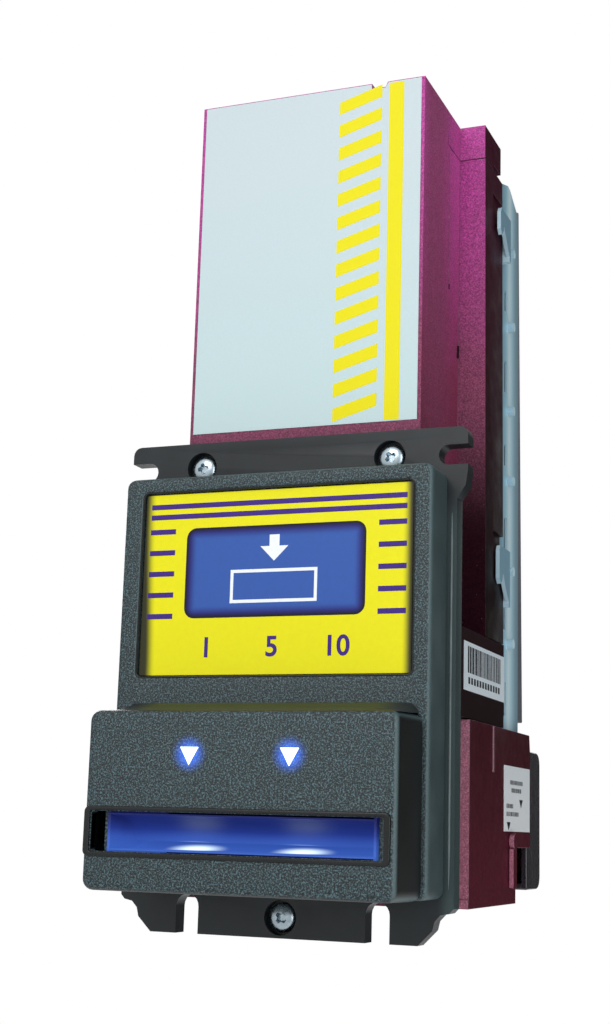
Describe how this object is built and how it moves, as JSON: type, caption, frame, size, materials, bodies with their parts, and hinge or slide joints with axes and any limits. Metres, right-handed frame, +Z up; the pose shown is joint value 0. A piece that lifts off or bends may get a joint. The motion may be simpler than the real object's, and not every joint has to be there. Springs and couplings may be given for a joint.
{
  "type": "bill validator",
  "caption": "Vending-machine bill validator: charcoal bezel with lit bill mouth and printed window, purple up-stacking magazine, hinged rear cover and drop-out lower track.",
  "frame": {"origin": "midway between the two upper stud slots, on the front face of the mounting flange, which rests against the inside of the machine's door", "axes": "+X to the right seen from the front, +Y to the rear (into the machine), +Z up"},
  "size_m": [0.1038, 0.1473, 0.25],
  "materials": {
    "bezel_charcoal": "fine spark-eroded texture on the front, satin on the sides",
    "decal_print": "screen-printed film in yellow, blue and purple",
    "blue_light_guide": "translucent blue light guide, lit from below",
    "lit_lens": "clear diffusing lens",
    "circuit_board": "glass-epoxy board with solder mask",
    "zinc_steel": "zinc-plated",
    "purple_plastic": "slightly translucent purple polycarbonate, fine speckle",
    "maroon_plastic": "slightly translucent dark maroon polycarbonate",
    "ice_blue_plastic": "pale blue-grey moulding, satin",
    "gloss_black_plastic": "glossy black moulding",
    "black_plastic": "satin black moulding",
    "nylon": "natural nylon",
    "brass": "turned",
    "rubber": "moulded rubber, matt",
    "paper_label": "printed paper-film label",
    "red_button": "satin red"
  },
  "bodies": {
    "frame": {"bezel": "bezel_charcoal", "decal_panel": "decal_print", "mouth_guide_upper": "blue_light_guide", "mouth_guide_lower": "blue_light_guide", "status_lens_left": "lit_lens", "status_lens_right": "lit_lens", "status_light_board": "circuit_board", "bezel_screw_left": "zinc_steel", "bezel_screw_right": "zinc_steel", "bezel_screw_lower": "zinc_steel", "head_chassis": "purple_plastic", "upper_track": "black_plastic", "interface_cover": "gloss_black_plastic", "interface_connector": "nylon", "main_board": "circuit_board", "bus_header": "black_plastic", "transport_motor": "zinc_steel", "transfer_belt": "rubber", "bill_belt_left": "rubber", "bill_belt_right": "rubber", "magazine_shell": "purple_plastic", "lid_hinge_pin": "zinc_steel", "stacker_frame": "black_plastic", "magazine_label": "paper_label", "barcode_label": "paper_label", "cover_hinge_pin": "zinc_steel", "stack_spring": "zinc_steel"},
    "lower_unit": {"lower_housing": "maroon_plastic", "lower_track": "black_plastic", "flash_port": "black_plastic", "service_board": "circuit_board", "service_label": "paper_label"},
    "latch": {"release_latch": "maroon_plastic"},
    "button": {"diagnostic_button": "red_button"},
    "entry_idler_axle": {"entry_idlers": "nylon"},
    "motor_rotor": {"motor_shaft": "brass"},
    "idler_wheel": {"idler_gear": "nylon"},
    "drive_axle": {"drive_shaft": "nylon"},
    "top_axle": {"top_shaft": "nylon"},
    "entry_axle": {"entry_shaft": "rubber"},
    "lid": {"magazine_lid": "purple_plastic"},
    "press": {"pressure_plate": "gloss_black_plastic"},
    "cover": {"rear_cover": "ice_blue_plastic", "chute_plate": "black_plastic", "stacker_motor": "zinc_steel"},
    "pusher": {"pusher_plate": "gloss_black_plastic"},
    "outer_scissor": {"scissor_frame_outer": "zinc_steel"},
    "inner_scissor": {"scissor_frame_inner": "zinc_steel"},
    "stacker_gear": {"stacker_pinion": "brass"}
  },
  "joints": [
    {"name": "lower_unit_release", "type": "slide", "parent": "frame", "child": "lower_unit", "axis": [0, 0, -1], "range_m": [0, 0.05]},
    {"name": "latch_turn", "type": "hinge", "parent": "lower_unit", "child": "latch", "pos_m": [0.0469, 0.0715, -0.10485], "axis": [1, 0, 0], "range_deg": [0, 25]},
    {"name": "diagnostic_press", "type": "slide", "parent": "lower_unit", "child": "button", "axis": [0, 0, 1], "range_m": [0, 0.001], "stiffness_N_per_m": 300, "springref_m": -0.0005},
    {"name": "entry_idler_spin", "type": "hinge", "parent": "lower_unit", "child": "entry_idler_axle", "pos_m": [0, 0.036, -0.10905], "axis": [1, 0, 0], "continuous": true},
    {"name": "motor_spin", "type": "hinge", "parent": "frame", "child": "motor_rotor", "pos_m": [0, 0.036, -0.05945], "axis": [1, 0, 0], "continuous": true},
    {"name": "idler_gear_spin", "type": "hinge", "parent": "frame", "child": "idler_wheel", "pos_m": [0, 0.0456, -0.05945], "axis": [1, 0, 0], "continuous": true},
    {"name": "drive_spin", "type": "hinge", "parent": "frame", "child": "drive_axle", "pos_m": [0, 0.058, -0.05945], "axis": [1, 0, 0], "continuous": true},
    {"name": "top_spin", "type": "hinge", "parent": "frame", "child": "top_axle", "pos_m": [0, 0.058, 0.09455], "axis": [1, 0, 0], "continuous": true},
    {"name": "entry_spin", "type": "hinge", "parent": "frame", "child": "entry_axle", "pos_m": [0, 0.036, -0.09705], "axis": [1, 0, 0], "continuous": true},
    {"name": "lid_open", "type": "hinge", "parent": "frame", "child": "lid", "pos_m": [0, 0.0584, 0.11355], "axis": [-1, 0, 0], "range_deg": [0, 95]},
    {"name": "stack_press", "type": "slide", "parent": "frame", "child": "press", "axis": [0, -1, 0], "range_m": [0, 0.026], "stiffness_N_per_m": 60, "springref_m": -0.015, "deforming": ["stack_spring"]},
    {"name": "cover_swing", "type": "hinge", "parent": "frame", "child": "cover", "pos_m": [-0.0473, 0.0663, 0.03255], "axis": [0, 0, 1], "range_deg": [0, 95]},
    {"name": "pusher_stroke", "type": "slide", "parent": "cover", "child": "pusher", "axis": [0, -1, 0], "range_m": [0, 0.0234]},
    {"name": "outer_scissor_lean", "type": "hinge", "parent": "cover", "child": "outer_scissor", "pos_m": [0, 0.081, -0.02345], "axis": [1, 0, 0], "range_deg": [0, 14]},
    {"name": "inner_scissor_lean", "type": "hinge", "parent": "pusher", "child": "inner_scissor", "pos_m": [0, 0.075, -0.02345], "axis": [1, 0, 0], "range_deg": [-14, 0]},
    {"name": "stacker_gear_spin", "type": "hinge", "parent": "cover", "child": "stacker_gear", "pos_m": [0, 0.079, -0.03655], "axis": [1, 0, 0], "range_deg": [-35, 35]}
  ],
  "couplings": [
    {"joint": "idler_gear_spin", "follows": "motor_spin", "ratio": -0.71429},
    {"joint": "drive_spin", "follows": "motor_spin", "ratio": 0.58824},
    {"joint": "top_spin", "follows": "motor_spin", "ratio": 0.58824},
    {"joint": "entry_spin", "follows": "motor_spin", "ratio": 1},
    {"joint": "outer_scissor_lean", "follows": "pusher_stroke", "rad_per_m": 10.187},
    {"joint": "inner_scissor_lean", "follows": "pusher_stroke", "rad_per_m": -10.187},
    {"joint": "stacker_gear_spin", "follows": "pusher_stroke", "rad_per_m": -22.92}
  ]
}
